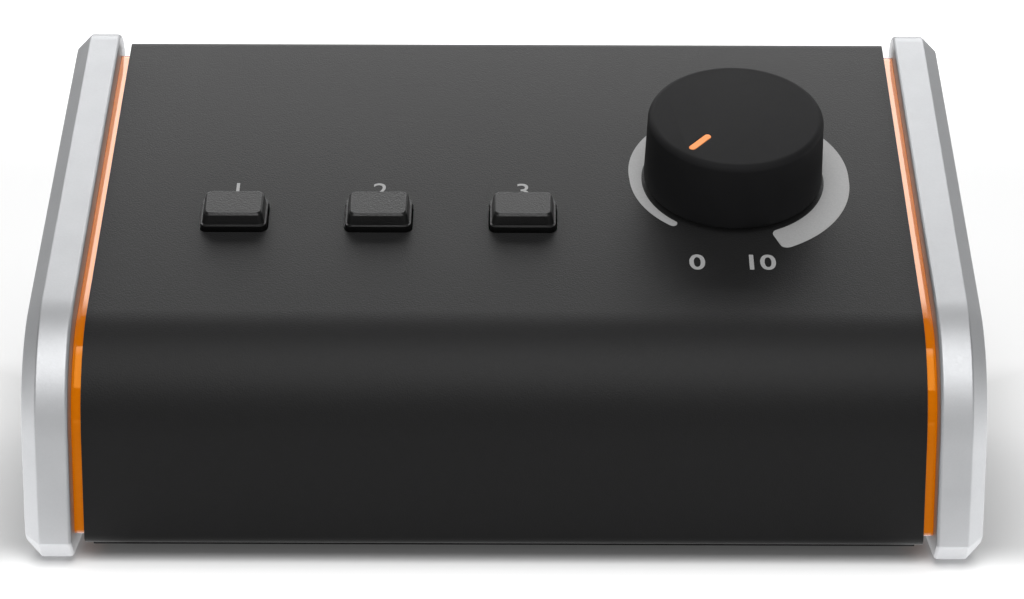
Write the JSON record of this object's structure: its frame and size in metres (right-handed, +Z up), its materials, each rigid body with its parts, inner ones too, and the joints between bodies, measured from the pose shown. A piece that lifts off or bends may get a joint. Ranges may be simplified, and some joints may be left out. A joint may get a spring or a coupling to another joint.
{
  "type": "studio monitor controller",
  "caption": "Wedge-shaped desktop monitor controller: push buttons and a large volume knob on a sloped panel, aluminium end cheeks, plug sockets at the back.",
  "frame": {"origin": "on the table, under the middle of the whole footprint, sockets and latches included", "axes": "+X to the user's right along the front, +Y to the back, +Z up"},
  "size_m": [0.178, 0.1064, 0.0834],
  "materials": {
    "powder_coated_steel": "fine textured black powder coat",
    "zinc_steel": "zinc plated",
    "orange_acrylic": "polished clear orange",
    "anodised_aluminium": "bead blasted, clear anodised",
    "steel_screws": "plated",
    "brass_nuts": "plain",
    "rubber": "matt",
    "soft_touch_plastic": "soft-touch black",
    "orange_insert": "satin",
    "shaft_aluminium": "turned",
    "phenolic": "plain",
    "bushing_brass": "threaded",
    "nickel": "nickel plated",
    "tinned_copper": "tinned",
    "cap_plastic": "satin black",
    "plunger_plastic": "natural",
    "switch_plastic": "matt",
    "circuit_board": "green solder mask",
    "chip_ceramic": "matt",
    "header_plastic": "matt",
    "ribbon_pvc": "ribbed",
    "socket_black": "satin black",
    "socket_nickel": "nickel plated die casting",
    "contact_gold": "gold plated"
  },
  "bodies": {
    "chassis": {"cover": "powder_coated_steel", "base_plate": "powder_coated_steel", "side_frame_left": "zinc_steel", "side_frame_right": "zinc_steel", "spacer_left": "orange_acrylic", "spacer_right": "orange_acrylic", "cheek_left": "anodised_aluminium", "cheek_right": "anodised_aluminium", "cheek_screws_left": "steel_screws", "cheek_screws_right": "steel_screws", "cheek_nuts_left": "brass_nuts", "cheek_nuts_right": "brass_nuts", "base_screws": "steel_screws", "base_nuts": "brass_nuts", "rubber_feet": "rubber", "pot_bushing": "bushing_brass", "pot_body": "zinc_steel", "pot_washer": "nickel", "pot_nut": "nickel", "pot_terminals": "tinned_copper", "switch_body_left": "switch_plastic", "switch_body_middle": "switch_plastic", "switch_body_right": "switch_plastic", "switch_pins": "tinned_copper", "control_board": "circuit_board", "board_standoffs": "nickel", "board_screws": "steel_screws", "control_resistors": "chip_ceramic", "rear_board": "circuit_board", "rear_resistors": "chip_ceramic", "control_header": "header_plastic", "rear_header": "header_plastic", "ribbon_cable": "ribbon_pvc", "combo_shell_left": "socket_black", "combo_shell_right": "socket_black", "combo_core_left": "socket_black", "combo_core_right": "socket_black", "output_shell_left": "socket_nickel", "output_shell_right": "socket_nickel", "output_insert_left": "socket_black", "output_insert_right": "socket_black", "output_pins": "contact_gold", "socket_screws": "steel_screws", "socket_tails": "tinned_copper", "mini_jack": "socket_black", "mini_jack_nut": "nickel"},
    "volume_knob": {"knob": "soft_touch_plastic", "knob_pointer": "orange_insert", "pot_shaft": "shaft_aluminium", "pot_wiper": "phenolic"},
    "button_left": {"button_cap_left": "cap_plastic", "plunger_left": "plunger_plastic"},
    "button_middle": {"button_cap_middle": "cap_plastic", "plunger_middle": "plunger_plastic"},
    "button_right": {"button_cap_right": "cap_plastic", "plunger_right": "plunger_plastic"},
    "latch_tab_left": {"latch_left": "zinc_steel"},
    "latch_tab_right": {"latch_right": "zinc_steel"}
  },
  "joints": [
    {"name": "volume_turn", "type": "hinge", "parent": "chassis", "child": "volume_knob", "pos_m": [0.0446, 0.00094, 0.06239], "axis": [0, 0.4067, -0.9135], "range_deg": [-10, 290]},
    {"name": "button_left_press", "type": "slide", "parent": "chassis", "child": "button_left", "axis": [0, 0.4067, -0.9135], "range_m": [0, 0.002], "stiffness_N_per_m": 400, "springref_m": -0.002},
    {"name": "button_middle_press", "type": "slide", "parent": "chassis", "child": "button_middle", "axis": [0, 0.4067, -0.9135], "range_m": [0, 0.002], "stiffness_N_per_m": 400, "springref_m": -0.002},
    {"name": "button_right_press", "type": "slide", "parent": "chassis", "child": "button_right", "axis": [0, 0.4067, -0.9135], "range_m": [0, 0.002], "stiffness_N_per_m": 400, "springref_m": -0.002},
    {"name": "latch_left_press", "type": "slide", "parent": "chassis", "child": "latch_tab_left", "axis": [0, 0, -1], "range_m": [0, 0.001], "stiffness_N_per_m": 600, "springref_m": -0.001},
    {"name": "latch_right_press", "type": "slide", "parent": "chassis", "child": "latch_tab_right", "axis": [0, 0, -1], "range_m": [0, 0.001], "stiffness_N_per_m": 600, "springref_m": -0.001}
  ]
}
